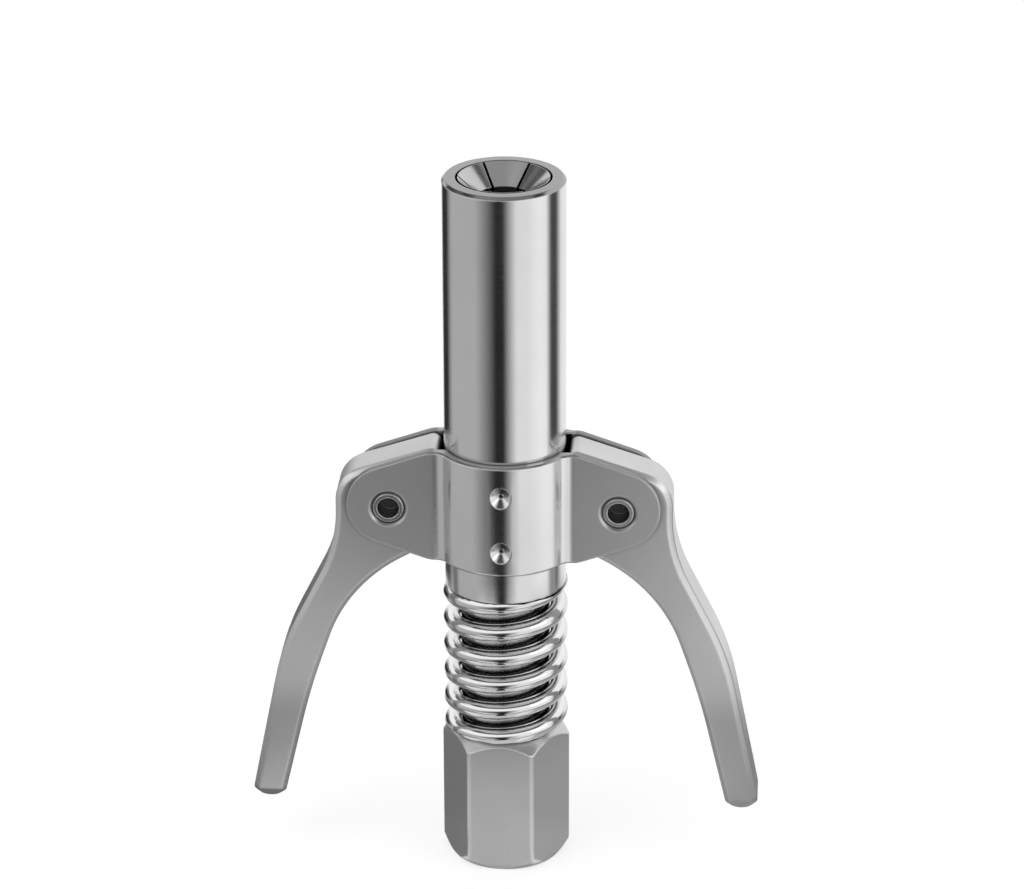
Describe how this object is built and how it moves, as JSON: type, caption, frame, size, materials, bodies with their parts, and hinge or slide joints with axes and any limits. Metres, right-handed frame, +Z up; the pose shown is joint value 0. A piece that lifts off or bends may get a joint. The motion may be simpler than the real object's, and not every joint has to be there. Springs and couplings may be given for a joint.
{
  "type": "grease coupler",
  "caption": "Quick-release grease coupler: squeezing the levers slides a sprung outer tube back, which frees the jaws inside its nose to let go of a grease nipple.",
  "frame": {"origin": "centre of the hex body's lower face, where the grease hose screws in", "axes": "+Z up the coupler to the nose that takes the nipple, levers along +X and -X, stake marks towards -Y"},
  "size_m": [0.0636, 0.017, 0.09],
  "materials": {
    "sleeve_plating": "bright nickel plating on a turned tube",
    "hex_steel": "satin nickel plating on turned hex bar",
    "stem_steel": "bright plated, turned",
    "collar_steel": "satin plated sheet steel",
    "lever_steel": "satin plated casting with a fine grain",
    "pin_steel": "plated pin",
    "spring_steel": "bright drawn spring wire",
    "jaw_steel": "hardened turned steel",
    "valve_steel": "ground steel",
    "black_rubber": "matt oil-proof rubber"
  },
  "bodies": {
    "stem": {"hex_body": "hex_steel", "stem_tube": "stem_steel", "valve_seat": "valve_steel", "main_spring": "spring_steel", "check_spring": "spring_steel", "seal_spring": "spring_steel", "jaw_spreader_ring": "black_rubber"},
    "sleeve": {"outer_sleeve": "sleeve_plating", "collar_front": "collar_steel", "collar_back": "collar_steel", "pivot_pin_left": "pin_steel", "pivot_pin_right": "pin_steel"},
    "lever_right": {"lever_right": "lever_steel"},
    "lever_left": {"lever_left": "lever_steel"},
    "seal": {"seal_holder": "valve_steel", "nipple_seal": "black_rubber", "seal_o_ring": "black_rubber"},
    "check_ball": {"check_ball": "valve_steel"},
    "jaw_back": {"jaw_back": "jaw_steel"},
    "jaw_back_left": {"jaw_back_left": "jaw_steel"},
    "jaw_front_left": {"jaw_front_left": "jaw_steel"},
    "jaw_front": {"jaw_front": "jaw_steel"},
    "jaw_front_right": {"jaw_front_right": "jaw_steel"},
    "jaw_back_right": {"jaw_back_right": "jaw_steel"}
  },
  "joints": [
    {"name": "sleeve_slide", "type": "slide", "parent": "stem", "child": "sleeve", "axis": [0, 0, -1], "range_m": [0, 0.00344], "stiffness_N_per_m": 3000, "springref_m": -0.0015, "deforming": ["main_spring"]},
    {"name": "lever_right_pivot", "type": "hinge", "parent": "sleeve", "child": "lever_right", "pos_m": [0.0141, 0, 0.0481], "axis": [0, 1, 0], "range_deg": [0, 22.1]},
    {"name": "lever_left_pivot", "type": "hinge", "parent": "sleeve", "child": "lever_left", "pos_m": [-0.0141, 0, 0.0481], "axis": [0, -1, 0], "range_deg": [0, 22.1]},
    {"name": "seal_slide", "type": "slide", "parent": "stem", "child": "seal", "axis": [0, 0, -1], "range_m": [0, 0.0015], "stiffness_N_per_m": 60, "springref_m": -0.001, "deforming": ["seal_spring"]},
    {"name": "check_ball_slide", "type": "slide", "parent": "stem", "child": "check_ball", "axis": [0, 0, 1], "range_m": [0, 0.0012], "stiffness_N_per_m": 20, "springref_m": -0.0006, "deforming": ["check_spring"]},
    {"name": "jaw_back_hinge", "type": "hinge", "parent": "stem", "child": "jaw_back", "pos_m": [0, 0.0047, 0.0723], "axis": [-1, 0, 0], "range_deg": [0, 1.55]},
    {"name": "jaw_back_left_hinge", "type": "hinge", "parent": "stem", "child": "jaw_back_left", "pos_m": [-0.00407, 0.00235, 0.0723], "axis": [-0.5, -0.866, 0], "range_deg": [0, 1.55]},
    {"name": "jaw_front_left_hinge", "type": "hinge", "parent": "stem", "child": "jaw_front_left", "pos_m": [-0.00407, -0.00235, 0.0723], "axis": [0.5, -0.866, 0], "range_deg": [0, 1.55]},
    {"name": "jaw_front_hinge", "type": "hinge", "parent": "stem", "child": "jaw_front", "pos_m": [0, -0.0047, 0.0723], "axis": [1, 0, 0], "range_deg": [0, 1.55]},
    {"name": "jaw_front_right_hinge", "type": "hinge", "parent": "stem", "child": "jaw_front_right", "pos_m": [0.00407, -0.00235, 0.0723], "axis": [0.5, 0.866, 0], "range_deg": [0, 1.55]},
    {"name": "jaw_back_right_hinge", "type": "hinge", "parent": "stem", "child": "jaw_back_right", "pos_m": [0.00407, 0.00235, 0.0723], "axis": [-0.5, 0.866, 0], "range_deg": [0, 1.55]}
  ],
  "couplings": [
    {"joint": "lever_right_pivot", "follows": "sleeve_slide", "rad_per_m": 111.75},
    {"joint": "lever_left_pivot", "follows": "sleeve_slide", "rad_per_m": 111.75},
    {"joint": "jaw_back_hinge", "follows": "sleeve_slide", "rad_per_m": 7.61},
    {"joint": "jaw_back_left_hinge", "follows": "sleeve_slide", "rad_per_m": 7.61},
    {"joint": "jaw_front_left_hinge", "follows": "sleeve_slide", "rad_per_m": 7.61},
    {"joint": "jaw_front_hinge", "follows": "sleeve_slide", "rad_per_m": 7.61},
    {"joint": "jaw_front_right_hinge", "follows": "sleeve_slide", "rad_per_m": 7.61},
    {"joint": "jaw_back_right_hinge", "follows": "sleeve_slide", "rad_per_m": 7.61}
  ]
}
